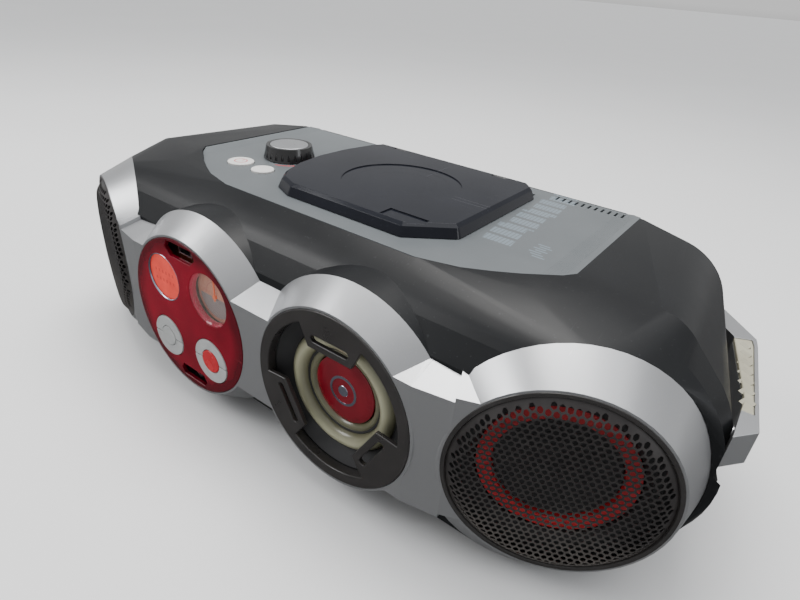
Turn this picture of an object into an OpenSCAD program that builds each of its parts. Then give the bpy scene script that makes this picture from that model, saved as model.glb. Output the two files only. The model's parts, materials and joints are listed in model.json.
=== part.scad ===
// Portable stereo: top-loading disc player, four round front pods and a fold-back carry handle.
// +X is to the right seen from the front, +Y runs to the back, +Z is up. Inside in_frame() depth is
// measured from the front face and height from the middle pods' centres, so a pod's own sizes read plainly.

/* [Body] */
// Half of the body's greatest width
body_half_w = 265; // [250:1:330]
// Depth from the front face to the back face
body_d = 240; // [236:1:300]
// Height of the top panel above the pods' centres
top_h = 82; // [80:1:105]
// Depth of the flat base below the pods' centres
base_drop = 74; // [73:1:90]
// Wall of the black shells
shell_wall = 2.6; // [2:0.1:3.5]
// Height of the rubber feet
foot_h = 4; // [2:0.5:8]

/* [Front frame] */
// Half the spacing of the two middle pods
mid_x = 67.3; // [66:0.1:84]
// Radius of a middle pod's opening
pod_open_r = 59; // [56:0.5:60]
// Radius of an end pod's opening
end_open_r = 57.2; // [54:0.1:59]
// Outer radius of the flat lip round each opening
lip_r = 60.5; // [60.5:0.1:62]
// Depth of the frame, front face to black shell
frame_d = 18; // [15:1:21]
// How far the chamfer round a pod spreads over that depth
flare = 12.5; // [10:0.5:14]
// Angle by which each end pod turns outward
end_yaw = 20.9; // [15:0.1:24]
// Wall of the frame
frame_wall = 2.4; // [2:0.1:3]

/* [Disc drive] */
// Radius of the disc well, for a 120 mm disc
well_r = 61; // [60.5:0.5:63]
// Depth of the disc well below the top panel
well_d = 14; // [12:1:16]
// Height of the lid above the top panel
lid_h = 8.5; // [8:0.5:12]
// Gap between the lid and the top panel
lid_gap = 0.4; // [0.3:0.1:0.8]
// Travel of the laser sled
sled_travel = 33; // [30:1:35]

/* [Controls] */
// Radius of the volume knob at its foot
knob_r = 21; // [18:0.5:25]
// Height of the volume knob
knob_h = 10.4; // [8:0.2:14]
// Radius of the power button
power_r = 10.3; // [8:0.1:12]
// Radius of the mode button
mode_r = 8.8; // [7:0.1:9.5]
// Gap round every button and cap
button_gap = 0.35; // [0.3:0.05:0.5]
// Travel of every button
button_travel = 1; // [0.6:0.1:1.4]
// Radius of the tuning wheel
wheel_r = 15; // [12:0.5:16]

/* [Handle and antenna] */
// Thickness of the handle from its underside to its top
handle_t = 21; // [18:1:25]
// Gap between the handle's bar and the back face
finger_gap = 10; // [9.5:0.5:40]
// Depth of the handle's grip bar
bar_d = 18; // [14:1:24]
// Radius of the handle's pivot pins
pivot_r = 4; // [3:0.1:5]
// Running clearance on every pin and shaft
run_gap = 0.05; // [0.02:0.01:0.08]
// Outer radius of the antenna tube
antenna_r = 3.2; // [2.5:0.1:3.6]
// Length of the closed antenna
antenna_l = 262; // [200:1:280]

/* [Hidden] */
$fn = 56;
eps = 0.2;
pod_rear_r = lip_r + flare;
barrel_taper = 0.8;
front_proud = 1.4;

// End pods: the frame folds at fold_x and runs on in a plane turned by end_yaw.
// A flat reaching fold_r each way eases the fold.
fold_x = mid_x + 67.9;
fold_r = 12;
end_x = body_half_w - 66.2;
end_y = (end_x - fold_x) * tan(end_yaw);
end_z = 2.75;
end_lean = 4.5;
end_extra_yaw = 7.1;
end_rear_r = lip_r + 13.5;

// Valleys between the pods: half height at the front face and at the black shell.
valley_mid = [34, 44.5];
valley_end = [41.5, 48.5];

// Black body: ridge, shoulders and rounded ends.
slope_z = 50;
ridge_y = 43.5;
ridge_end_y = 53;
ridge_z = top_h - 5;
slab_x = body_half_w - 115;
shoulder_z = top_h + 2.5;
end_r = 75;
end_cx = body_half_w - end_r;
widest_y = 100;
corner_y = body_d - 43;
ledge_y = body_d - 8.5;
ledge_z = 48;

// Rear end sections: [depth, centre x, radius].
end_sections = [
    [widest_y, end_cx, end_r],
    [corner_y, end_cx - 20, end_r - 5],
    [body_d - 12, end_cx - 36, end_r - 15],
    [body_d, end_cx - 40, end_r - 23]
];

// Shoulder rounds: [depth, centre x, centre height, radius].
shoulder_sections = [
    [95, end_cx + 16, top_h - 32, 32],
    [corner_y - 7, end_cx + 2, top_h - 43.5, 42.5],
    [corner_y + 7, end_cx - 1, top_h - 42, 42.5]
];

// Top panel.
panel_t = 2.2;
panel_x = slab_x + 12.5;
panel_front = 53;
panel_back = body_d - 15;
panel_curl = 2.4;

// Disc drive.
disc_x = 9;
disc_y = 140;
lid_foot = top_h + lid_gap;
lid_top = top_h + lid_h;
hinge_y = 207;
hinge_z = top_h + 5.2;
knuckle_r = 2.8;
knuckle_l = 4;
hinge_pin_r = 1.5;
lug_x = [-40, 56];
lug_w = 12;
well_floor = top_h - panel_t - well_d;
hub_r = 14;
sled_y = disc_y;

// Controls on the top.
knob_at = [-103, 134];
power_at = [-116.5, 94.5];
mode_at = [-90, 93.5];
control_z = top_h - 18;

// Controls on the display panel, measured from its centre.
lcd_at = [-22.5, 24];
lcd_r = 17.5;
dial_at = [25.8, 24.5];
dial_r = 19;
search_at = [-25.5, -26];
search_r = 16;
search_core_r = 7.6;
track_at = [23, -26];
track_r = 17;
play_r = 8.8;
display_t = 3;
display_board_y = 15;
needle_r = 15;

// Handle.
pivot_y = 104;
pivot_z = 22.5;
arm_out = body_half_w + 6.2;
arm_in = arm_out - 10.5;
arm_gap = 0.6;
recess_r = 30;
bar_y = body_d + finger_gap;
back_y = bar_y + bar_d;
handle_z = [pivot_z - handle_t / 2, pivot_z + handle_t / 2];

// Battery bay.
bay_x = 95;
bay_h = 38;
bay_z = -base_drop + 13;
bay_d = 70;
door_t = 2.4;
door_axis_z = bay_z + 3.2;

// Rear cover screws and antenna.
screw_x = [-130, 130];
screw_z = [-52, 42];
antenna_x = -141;
antenna_y = ledge_y + 5;
antenna_z = ledge_z + 8;

wheel_t = 6;
wheel_y = 143;
wheel_dir = [-0.81, 0.587];

y_mid = (back_y - front_proud) / 2;
floor_z = base_drop + foot_h;

// ---- Placing and shaping helpers ----

module in_frame() translate([0, -y_mid, floor_z]) children();

module on_side(side) mirror([side < 0 ? 1 : 0, 0, 0]) children();

// Turns a revolved or extruded shape so that its axis runs into the body.
module inward(at) translate(at) rotate([-90, 0, 0]) children();

// A flat shape drawn as seen from the front, between two depths.
module slab_y(y0, y1) translate([0, y1, 0]) rotate([90, 0, 0]) linear_extrude(y1 - y0) children();

// A depth-by-height profile run along X.
module run_x(x0, x1) translate([x0, 0, 0]) rotate([90, 0, 90]) linear_extrude(x1 - x0) children();

// An end pod's own frame: its centre, facing out along its own -Y.
module at_end(side) on_side(side) translate([end_x, end_y, end_z]) rotate([0, 0, end_yaw]) children();

// The tilted plane where an end pod's silver meets the black body.
module at_end_rear() translate([2, frame_d - 0.1, -1.25]) rotate([-end_lean, 0, end_extra_yaw]) children();

function end_at(y) =
    let (k = y < corner_y ? 0 : 1, a = end_sections[k], b = end_sections[k + 1])
    a + (b - a) * (y - a[0]) / (b[0] - a[0]);

// ---- Outer shapes ----

module valley_profile(half, i) polygon([
    [i, -half[0] + i], [i, half[0] - i], [frame_d + i, half[1] - i], [frame_d + i, -half[1] + i]
]);

// The silver front: four flared pods joined by valleys. i is how far inside its skin the shape lies.
module frame_shape(i) {
    for (side = [-1, 1]) {
        inward([side * mid_x, i, 0]) cylinder(h = frame_d, r1 = lip_r - i, r2 = pod_rear_r - i);
        on_side(side) {
            run_x(mid_x, fold_x - fold_r + 0.05) valley_profile(valley_end, i);
            translate([fold_x - fold_r, 0, 0]) rotate([0, 0, end_yaw / 2])
                run_x(0, 2 * fold_r * cos(end_yaw / 2) + 0.05) valley_profile(valley_end, i);
        }
        at_end(side) {
            run_x(fold_r - (end_x - fold_x) / cos(end_yaw), 0) valley_profile(valley_end, i);
            hull() {
                inward([0, i, 0]) cylinder(h = 0.1, r = lip_r - i);
                at_end_rear() inward([0, i, 0]) cylinder(h = 0.1, r = end_rear_r - i);
            }
        }
    }
    run_x(-mid_x, mid_x) valley_profile(valley_mid, i);
}

module core_profile(ry, i) polygon([
    [frame_d + i, -slope_z], [frame_d + i, slope_z], [ry + i, ridge_z - i],
    [ry + 10, top_h - i], [body_d - 14, top_h - i], [body_d - i, ledge_z - i],
    [body_d - i, -base_drop + 12], [body_d - 12, -base_drop + i],
    [ry + i, -base_drop + i]
]);

module end_disc(s, i) inward([s[1], s[0] - (s[0] >= body_d ? i + 0.1 : 0), 2])
    cylinder(h = 0.1, r = s[2] - i);

// The black body: a shell of slab, shoulders and round ends, with the pods' barrels.
module body_shape(i) difference() {
    union() {
        hull() {
            run_x(-84, 84) core_profile(ridge_y, i);
            run_x(-slab_x, slab_x) core_profile(ridge_end_y, i);
            translate([-panel_x - 3, 95, shoulder_z - i - 0.1])
                cube([2 * panel_x + 6, panel_back - 105, 0.1]);
            for (side = [-1, 1]) on_side(side) {
                for (s = end_sections) end_disc(s, i);
                for (s = shoulder_sections) inward([s[1], s[0], s[2]]) cylinder(h = 0.1, r = s[3] - i);
                at_end_half(i);
            }
        }
        for (side = [-1, 1]) {
            inward([side * mid_x, frame_d + i * 1.2, 0])
                cylinder(h = 45, r1 = pod_rear_r - i, r2 = pod_rear_r + barrel_taper - i);
            hull() {
                at_end(side) at_end_rear() inward([0, i, 0]) cylinder(h = 0.1, r = end_rear_r - i);
                on_side(side) inward([end_cx, 78, 2]) cylinder(h = 0.1, r = end_r - i);
            }
        }
    }
    translate([-body_half_w, ledge_y - i, ledge_z - i]) cube([2 * body_half_w, 60, 100]);
    translate([-body_half_w, 0, -base_drop - 50 + i]) cube([2 * body_half_w, 400, 50]);
    // round recess that each handle arm turns in
    for (side = [-1, 1]) on_side(side) translate([arm_in - arm_gap - i, pivot_y, pivot_z])
        rotate([0, 90, 0]) cylinder(h = 40, r = recess_r + i);
}

// The lower front apron between the pods, which belongs to the base.
module apron(g) translate([-170 - g, -50, -200]) cube([340 + 2 * g, 50 + frame_d + 30 + g, 200 + g]);

// The outer half of an end pod's rear disc, the part beyond the body's flat front.
module at_end_half(i) translate([end_x, end_y, end_z]) rotate([0, 0, end_yaw]) at_end_rear()
    intersection() {
        inward([0, i, 0]) cylinder(h = 0.1, r = end_rear_r - i);
        translate([-40, -5, -100]) cube([200, 20, 200]);
    }

module shell_shape() difference() {
    body_shape(0);
    body_shape(shell_wall);
    frame_shape(-eps);
    translate([0, 2 * eps, 0]) frame_shape(0);
    // openings behind the pods
    for (side = [-1, 1]) {
        inward([side * mid_x, -5, 0]) cylinder(h = 70, r = pod_rear_r - 4);
        at_end(side) inward([0, -5, 0]) cylinder(h = 60, r = end_rear_r - 5);
    }
}

// Outline of the top panel, grown or shrunk by g.
module panel_outline(g) offset(delta = g) polygon([
    [83, panel_front], [109, 60], [125, 68], [138.5, 76], [panel_x - 5.5, 89], [panel_x, 96],
    [panel_x, panel_back - 6], [panel_x - 6, panel_back], [-panel_x + 6, panel_back],
    [-panel_x, panel_back - 6], [-panel_x, 96], [-panel_x + 5.5, 89], [-138.5, 76],
    [-125, 68], [-109, 60], [-83, panel_front]
]);

// Outline of the disc lid, grown or shrunk by g: a straight right side and a long curve on the left.
module lid_outline(g) offset(r = 6 + g, $fn = 48) offset(delta = -6) polygon([
    [-36, 68], [61, 68], [89, 92], [89, 200], [80, 211], [-64, 211], [-70, 196],
    [-75, 167], [-75.5, 137], [-71, 109], [-64, 90], [-54, 76]
]);

// ---- Casing ----

module front_frame() color([0.78, 0.79, 0.81]) in_frame() difference() {
    frame_shape(0);
    frame_shape(frame_wall);
    for (side = [-1, 1]) {
        inward([side * mid_x, -1, 0]) cylinder(h = 30, r = pod_open_r);
        at_end(side) inward([0, -1, 0]) cylinder(h = 30, r = end_open_r);
    }
}

module top_cover() color([0.13, 0.13, 0.14]) in_frame() difference() {
    union() {
        difference() {
            shell_shape();
            translate([0, 0, top_h]) linear_extrude(10) panel_outline(0.3);
        }
        intersection() {
            body_shape(0);
            translate([0, 0, top_h - panel_t - 4]) linear_extrude(20) difference() {
                panel_outline(3);
                panel_outline(-4);
            }
        }
    }
    translate([0, 0, top_h - panel_t - 0.1]) linear_extrude(10) panel_outline(0.3);
    translate([0, 0, top_h - 12]) linear_extrude(20) panel_outline(-4);
    // split from the base and from the rear cover
    translate([-400, -100, -base_drop - 10]) cube([800, 600, 24]);
    translate([-400, body_d - 14, -100]) cube([800, 100, 300]);
    apron(0);
    // tuning wheel's slot and the handle's pivot holes
    wheel_place() inward([0, -wheel_t / 2 - 1, 0]) cylinder(h = wheel_t + 2, r = wheel_r + 1);
    translate([-400, pivot_y, pivot_z]) rotate([0, 90, 0]) cylinder(h = 800, r = pivot_r + 0.2);
}

module base_cover() color([0.1, 0.1, 0.11]) in_frame() difference() {
    shell_shape();
    difference() {
        translate([-400, -100, -base_drop + 13.8]) cube([800, 600, 300]);
        apron(-eps);
    }
    translate([-400, body_d - 14, -100]) cube([800, 100, 300]);
    for (x = [-150, 150], y = [60, body_d - 30])
        translate([x, y, -base_drop - 1]) cylinder(h = 10, r = 3.2);
}

module rear_cover() color([0.12, 0.12, 0.13]) in_frame() difference() {
    shell_shape();
    translate([-400, -100, -150]) cube([800, body_d - 14 + 100 + eps, 400]);
    // battery door, mains inlet and vents
    slab_y(body_d - 6, body_d + 2) translate([-bay_x - 0.5, bay_z - 1]) square([2 * bay_x + 1, bay_h + 2]);
    slab_y(body_d - 6, body_d + 2) translate([133, -38]) square([24, 16]);
    for (k = [0 : 8]) slab_y(body_d - 6, body_d + 2) translate([-60 + 15 * k, 8]) square([6, 26]);
    for (x = screw_x, z = screw_z) inward([x, body_d - 6, z]) cylinder(h = 8, r = 1.7);
}

module top_panel() color([0.55, 0.58, 0.6]) in_frame() difference() {
    intersection() {
        translate([0, 0, top_h - 5]) linear_extrude(12) panel_outline(0);
        translate([0, 400, 0]) rotate([90, 0, 0]) linear_extrude(400) polygon(concat(
            [for (k = [0 : 8]) let (t = k / 8)
                [-panel_x - 1 + 14 * t, top_h + panel_curl * pow(1 - t, 2)]],
            [for (k = [0 : 8]) let (t = k / 8)
                [panel_x - 13 + 14 * t, top_h + panel_curl * pow(t, 2)]],
            [[panel_x + 1, top_h - panel_t], [-panel_x - 1, top_h - panel_t]]
        ));
    }
    translate([0, 0, top_h - 10]) linear_extrude(20) lid_outline(-3.5);
    translate([-67, hinge_y - 8, top_h - 10]) cube([152, 12.3, 20]);
    translate([knob_at[0], knob_at[1], top_h - 10]) cylinder(h = 20, r = 5);
    translate([power_at[0], power_at[1], top_h - 10]) cylinder(h = 20, r = power_r + button_gap);
    translate([mode_at[0], mode_at[1], top_h - 10]) cylinder(h = 20, r = mode_r + button_gap);
    // vent slots along the back edge on the right
    for (k = [0 : 10]) translate([100 + 5 * k, panel_back - 12, top_h - 10]) cube([1.6, 8, 20]);
}

module feet() color([0.08, 0.08, 0.08]) in_frame() for (x = [-150, 150], y = [60, body_d - 30])
    translate([x, y, -base_drop - foot_h]) {
        cylinder(h = foot_h, r1 = 8.5, r2 = 9);
        cylinder(h = foot_h + 4, r = 3);
    }

module case_screws() color([0.6, 0.6, 0.62]) in_frame() for (x = screw_x, z = screw_z)
    inward([x, 0, z]) difference() {
        union() {
            translate([0, 0, body_d - 14]) cylinder(h = 14.1, r = 1.5);
            translate([0, 0, body_d + 0.1]) cylinder(h = 1.2, r = 3);
        }
        for (a = [0, 90]) rotate(a) translate([-2, -0.4, body_d + 0.7]) cube([4, 0.8, 2]);
    }

// ---- Disc drive ----

module lid_skin(g, z0, z1) hull() {
    translate([0, 0, z0]) linear_extrude(0.1) lid_outline(g);
    translate([0, 0, z1 - 2.1]) linear_extrude(0.1) lid_outline(g - 2.6);
    translate([0, 0, z1 - 0.1]) linear_extrude(0.1) lid_outline(g - 5);
}

// A cylinder on the lid's hinge axis, centred on x.
module on_hinge(x, l, r) translate([x - l / 2, hinge_y, hinge_z]) rotate([0, 90, 0]) cylinder(h = l, r = r);

module disc_lid() color([0.05, 0.055, 0.08]) in_frame() difference() {
    union() {
        difference() {
            lid_skin(0, lid_foot, lid_top);
            lid_skin(-2, lid_foot - 1, lid_top - 2);
        }
        for (x = lug_x) on_hinge(x, lug_w + 0.8 + 2 * knuckle_l, knuckle_r);
    }
    // shallow centre recess and a thumb pad
    translate([disc_x + 4, disc_y - 6, lid_top - 0.7]) cylinder(h = 5, r = 44);
    translate([40, 74, lid_top - 0.8]) cube([30, 12, 5]);
    // notches and bores for the hinge
    for (x = lug_x) {
        translate([x - lug_w / 2 - 0.4, hinge_y - 5, lid_foot - 5]) cube([lug_w + 0.8, 12, 20]);
        on_hinge(x, lug_w + 2 * knuckle_l + 2, hinge_pin_r + 0.02);
    }
}

// Steel hinge pins, each held in two knuckles of the lid.
module lid_hinge_pin() color([0.7, 0.7, 0.72]) in_frame()
    for (x = lug_x) on_hinge(x, lug_w + 2 * knuckle_l, hinge_pin_r);

module disc_clamp() color([0.12, 0.12, 0.13]) in_frame() translate([disc_x, disc_y, lid_top - 16.5]) difference() {
    cylinder(h = 14.4, r = 16);
    translate([0, 0, -1]) cylinder(h = 3.6, r = 9);
}

module disc_well() color([0.07, 0.07, 0.08]) in_frame() difference() {
    union() {
        translate([0, 0, top_h - panel_t - 2.3]) linear_extrude(2.2) lid_outline(1);
        translate([disc_x, disc_y, well_floor - 2]) cylinder(h = well_d, r = well_r + 2);
        for (x = lug_x) translate([x - lug_w / 2, hinge_y, 0]) run_x(0, lug_w) {
            translate([0, hinge_z]) circle(r = knuckle_r);
            translate([-knuckle_r, top_h - panel_t - 2])
                square([2 * knuckle_r, hinge_z - top_h + panel_t + 2]);
        }
    }
    translate([disc_x, disc_y, well_floor]) cylinder(h = 40, r = well_r);
    translate([disc_x, disc_y, well_floor - 5]) cylinder(h = 20, r = hub_r + 1);
    translate([disc_x + 12, sled_y - 10, well_floor - 5]) cube([sled_travel + 18, 20, 20]);
    for (x = lug_x) on_hinge(x, lug_w + 2, hinge_pin_r + run_gap);
}

module spindle_hub() color([0.2, 0.2, 0.22]) in_frame() translate([disc_x, disc_y, 0]) {
    translate([0, 0, well_floor + 0.6]) cylinder(h = 2.4, r = hub_r);
    translate([0, 0, well_floor + 3]) cylinder(h = 4, r = 7.3);
    translate([0, 0, well_floor - 14]) cylinder(h = 16, r = 1.5);
}

module spindle_motor() color([0.65, 0.66, 0.68]) in_frame() translate([disc_x, disc_y, well_floor - 18])
    difference() {
        cylinder(h = 14, r = 11);
        translate([0, 0, 3]) cylinder(h = 20, r = 1.5 + run_gap);
    }

module laser_sled() color([0.25, 0.25, 0.27]) in_frame() difference() {
    union() {
        translate([disc_x + 17, sled_y - 15, well_floor - 11]) cube([14, 30, 6]);
        translate([disc_x + 24, sled_y, well_floor - 6]) cylinder(h = 5, r = 4.5);
        translate([disc_x + 24, sled_y, well_floor - 1.2]) cylinder(h = 1.2, r = 2.6);
    }
    for (s = [-1, 1]) translate([disc_x, sled_y + s * 12, well_floor - 8]) rotate([0, 90, 0])
        cylinder(h = 60, r = 1.2 + run_gap);
}

module sled_rails() color([0.75, 0.75, 0.77]) in_frame() for (s = [-1, 1])
    translate([disc_x + 14, sled_y + s * 12, well_floor - 8]) rotate([0, 90, 0])
        cylinder(h = sled_travel + 20, r = 1.2);

// ---- Controls on the top ----

module volume_knob() color([0.06, 0.06, 0.07]) in_frame() translate([knob_at[0], knob_at[1], 0]) {
    difference() {
        translate([0, 0, top_h + 0.5]) cylinder(h = knob_h, r1 = knob_r, r2 = knob_r - 2.5);
        translate([0, 0, top_h]) cylinder(h = knob_h - 2, r = knob_r - 4.5);
        translate([0, 0, top_h + knob_h - 0.4]) cylinder(h = 2, r = knob_r - 5);
        for (k = [0 : 23]) rotate(k * 15) translate([knob_r - 0.4, 0, top_h + 2]) cylinder(h = 20, r = 1.1);
    }
    translate([0, 0, control_z + 4]) cylinder(h = top_h + knob_h - 2 - control_z - 4, r = 3);
}

module volume_cap() color([0.75, 0.76, 0.78]) in_frame()
    translate([knob_at[0], knob_at[1], top_h + knob_h - 0.35]) cylinder(h = 1, r1 = knob_r - 5.1, r2 = knob_r - 5.6);

module control_board() color([0.1, 0.35, 0.2]) in_frame() difference() {
    union() {
        translate([-140, 78, control_z - 1.6]) cube([64, 80, 1.6]);
        translate([knob_at[0], knob_at[1], control_z]) cylinder(h = 9, r = 9);
        for (p = [power_at, mode_at]) translate([p[0] - 3, p[1] - 3, control_z]) cube([6, 6, 4]);
    }
    translate([knob_at[0], knob_at[1], control_z + 2]) cylinder(h = 20, r = 3 + run_gap);
}

module top_button(at, r) in_frame() translate([at[0], at[1], 0]) {
    translate([0, 0, top_h - 1.6]) cylinder(h = 3, r = r);
    translate([0, 0, control_z + 4 + button_travel + 0.4])
        cylinder(h = top_h - 1.6 - control_z - 4 - button_travel - 0.4, r = 2.5);
}

module power_button() color([0.93, 0.93, 0.92]) top_button(power_at, power_r);

module mode_button() color([0.93, 0.93, 0.92]) top_button(mode_at, mode_r);

// ---- Display pod ----

module at_display() translate([-mid_x, 0, 0]) children();

module display_panel() color([0.5, 0.04, 0.08]) in_frame() at_display() difference() {
    slab_y(-0.4, display_t) difference() {
        circle(r = pod_open_r - button_gap);
        translate(lcd_at) circle(r = lcd_r + 0.2);
        translate(dial_at) circle(r = dial_r + 0.2);
        translate(search_at) circle(r = search_r + button_gap);
        translate(track_at) circle(r = track_r + button_gap);
        translate([0, 45]) polygon([[-11, 0], [11, 0], [16, 5], [13, 10.5], [-13, 10.5], [-16, 5]]);
        translate([0, -56]) polygon([[-12, 2], [12, 2], [15, 6], [12, 11], [-12, 11], [-15, 6]]);
    }
}

module display_board() color([0.1, 0.35, 0.2]) in_frame() at_display() {
    slab_y(display_board_y, display_board_y + 1.6) difference() {
        circle(r = pod_open_r - 4);
        translate([-8, 42]) square([16, 16]);
        translate([0, -50]) circle(r = 7);
        translate(dial_at) circle(r = 4);
    }
    for (p = button_stems()) slab_y(display_board_y - 1.6, display_board_y)
        translate(p) square([6, 6], center = true);
}

// Stem positions of the six buttons on the display panel.
function button_stems() = [
    search_at, search_at + [0, 11.8], search_at - [0, 11.8],
    track_at, track_at + [0, 12.9], track_at - [0, 12.9]
];

module panel_button(stem_at, proud) in_frame() at_display() {
    slab_y(-proud, display_t) children();
    slab_y(display_t, display_board_y - 1.6 - button_travel - 0.4) translate(stem_at) circle(r = 1.8);
}

module half_ring(at, r_out, r_in, up) translate(at) difference() {
    circle(r = r_out);
    circle(r = r_in);
    translate([-30, up ? -60 + 0.35 : -0.35]) square([60, 60]);
}

module search_up_button() color([0.72, 0.73, 0.74]) panel_button(button_stems()[1], 1)
    half_ring(search_at, search_r, search_core_r + 0.4, true);

module search_down_button() color([0.72, 0.73, 0.74]) panel_button(button_stems()[2], 1)
    half_ring(search_at, search_r, search_core_r + 0.4, false);

module search_core_button() color([0.76, 0.77, 0.78]) panel_button(search_at, 1.4)
    translate(search_at) circle(r = search_core_r);

module track_up_button() color([0.72, 0.73, 0.74]) panel_button(button_stems()[4], 1)
    half_ring(track_at, track_r, play_r + 0.4, true);

module track_down_button() color([0.72, 0.73, 0.74]) panel_button(button_stems()[5], 1)
    half_ring(track_at, track_r, play_r + 0.4, false);

module play_button() color([0.8, 0.15, 0.2]) panel_button(track_at, 1.4)
    translate(track_at) circle(r = play_r);

module lcd_glass() color([0.9, 0.3, 0.25]) in_frame() at_display()
    slab_y(1, 5) translate(lcd_at) circle(r = lcd_r);

module dial_plate() color([0.85, 0.6, 0.5]) in_frame() at_display()
    slab_y(7, 8.5) translate(dial_at) difference() {
        circle(r = dial_r);
        circle(r = 1 + run_gap);
    }

module dial_needle() color([0.95, 0.4, 0.1]) in_frame() at_display() translate([dial_at[0], 0, dial_at[1]]) {
    slab_y(5.4, 6.2) translate([-0.5, -3]) square([1, needle_r + 3]);
    slab_y(5.2, 6.6) circle(r = 1.6);
    slab_y(6.5, 14) circle(r = 1);
}

module dial_lens() color([0.8, 0.8, 0.8, 0.4]) in_frame() at_display()
    slab_y(0, 1.4) translate(dial_at) circle(r = dial_r);

module usb_socket() color([0.7, 0.7, 0.72]) in_frame() at_display() slab_y(4.5, 22) difference() {
    translate([-7, 47]) square([14, 6.5]);
    translate([-6.2, 47.8]) square([12.4, 4.9]);
}

module line_in_jack() color([0.15, 0.15, 0.16]) in_frame() at_display() inward([0, 4.5, -50]) difference() {
    cylinder(h = 14, r = 4);
    translate([0, 0, -1]) cylinder(h = 13, r = 1.8);
}

// A tuning wheel let into the left shoulder.
module wheel_place() {
    s = end_at(wheel_y);
    translate([
        -s[1] + (s[2] - wheel_r + 3) * wheel_dir[0], wheel_y, 2 + (s[2] - wheel_r + 3) * wheel_dir[1]
    ]) children();
}

module tuning_wheel() color([0.2, 0.2, 0.22]) in_frame() wheel_place()
    inward([0, -wheel_t / 2, 0]) difference() {
        union() {
            cylinder(h = wheel_t, r = wheel_r);
            translate([0, 0, -8]) cylinder(h = wheel_t + 16, r = 2);
        }
        for (k = [0 : 29]) rotate(k * 12) translate([wheel_r, 0, -1]) cylinder(h = 20, r = 0.6, $fn = 16);
    }

// ---- Speakers ----

module tab_shape() difference() {
    intersection() {
        circle(r = 51.2);
        polygon([[-16.5, 32], [16.5, 32], [28, 56], [-28, 56]]);
    }
    translate([0, 39]) hull() for (x = [-11.7, 11.7]) translate([x, 0]) circle(r = 2.3, $fn = 24);
}

module woofer_guard() color([0.1, 0.1, 0.1]) in_frame() translate([mid_x, 0, 0]) {
    slab_y(-0.6, 6) difference() {
        circle(r = pod_open_r - button_gap);
        circle(r = 51);
    }
    for (a = [0, 120, 240]) slab_y(-0.6, 2.6) rotate(a) tab_shape();
}

module woofer_driver() color([0.16, 0.16, 0.17]) in_frame() inward([mid_x, 0, 0]) {
    rotate_extrude() polygon([
        [60.3, 6.4], [50.5, 6.4], [41.5, 12], [40.6, 12], [40.6, 14], [44, 14], [48, 20], [34, 50],
        [12, 50], [12, 52], [36, 52], [50.5, 20], [52, 9], [60.3, 9]
    ]);
    translate([0, 0, 52]) cylinder(h = 18, r = 42);
}

module woofer_surround() color([0.45, 0.44, 0.32]) in_frame() inward([mid_x, 0, 0]) rotate_extrude()
    difference() {
        translate([34.9, 13.6]) circle(r = 5.5);
        translate([34.9, 13.6]) circle(r = 4.4);
        translate([20, 13.6]) square([30, 10]);
    }

module woofer_cone() color([0.2, 0.2, 0.2]) in_frame() inward([mid_x, 0, 0]) rotate_extrude()
    polygon([[29.2, 13], [29.2, 14.2], [10, 35], [10, 45], [9, 45], [9, 34.6], [28, 13]]);

module woofer_badge() color([0.5, 0.05, 0.08]) in_frame() inward([mid_x, 0, 0]) rotate_extrude()
    polygon([[0, 12.8], [18, 13.2], [23, 14.4], [23, 17], [22, 17], [22, 15.2], [0, 15]]);

module end_grille(side) in_frame() at_end(side) inward([0, 0, 0]) rotate_extrude() polygon([
    [0, -3.6], [49.5, -5], [56.6, 0.4], [56.6, 6], [55.6, 6], [55.6, 1.2], [49.2, -3.9], [0, -2.6]
]);

module left_grille() color([0.08, 0.08, 0.08]) end_grille(-1);

module right_grille() color([0.08, 0.08, 0.08]) end_grille(1);

module trim_ring(side) in_frame() at_end(side) inward([0, 0, 0]) rotate_extrude()
    polygon([[34, 12.5], [42, 12.5], [42.2, 15.6], [33.4, 15.6]]);

module left_trim_ring() color([0.55, 0.05, 0.08]) trim_ring(-1);

module right_trim_ring() color([0.55, 0.05, 0.08]) trim_ring(1);

module end_cone(side) in_frame() at_end(side) inward([0, 0, 0]) rotate_extrude() polygon([
    [33, 15.2], [33, 16.2], [11, 28], [11, 33.5], [10, 33.5], [10, 27.4], [0, 23.5], [0, 22.5],
    [10, 26], [32, 15.2]
]);

module left_cone() color([0.12, 0.12, 0.12]) end_cone(-1);

module right_cone() color([0.12, 0.12, 0.12]) end_cone(1);

module end_driver(side) in_frame() at_end(side) inward([0, 0, 0]) {
    rotate_extrude() polygon([
        [58, 7.6], [46, 7.6], [43, 11], [43, 16], [45, 16], [25, 34], [12.5, 34], [12.5, 36],
        [27, 36], [47.5, 17], [48, 10], [58, 10]
    ]);
    translate([0, 0, 36]) cylinder(h = 16, r = 30);
}

module left_driver() color([0.16, 0.16, 0.17]) end_driver(-1);

module right_driver() color([0.16, 0.16, 0.17]) end_driver(1);

// ---- Power and signal ----

module main_board() color([0.1, 0.35, 0.2]) in_frame() translate([-105, 100, -20]) difference() {
    cube([210, 105, 1.6]);
    for (x = [6, 204], y = [6, 99]) translate([x, y, -1]) cylinder(h = 4, r = 1.6);
}

module transformer() color([0.35, 0.33, 0.3]) in_frame() translate([-185, 110, -base_drop + 8]) {
    cube([54, 48, 38]);
    translate([8, -8, 6]) cube([38, 64, 26]);
}

module mains_inlet() color([0.1, 0.1, 0.1]) in_frame() difference() {
    translate([133.5, body_d - 26, -37.5]) cube([23, 25.5, 15]);
    slab_y(body_d - 14, body_d + 2) hull() for (x = [141, 149]) translate([x, -30]) circle(r = 4.4, $fn = 24);
}

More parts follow.
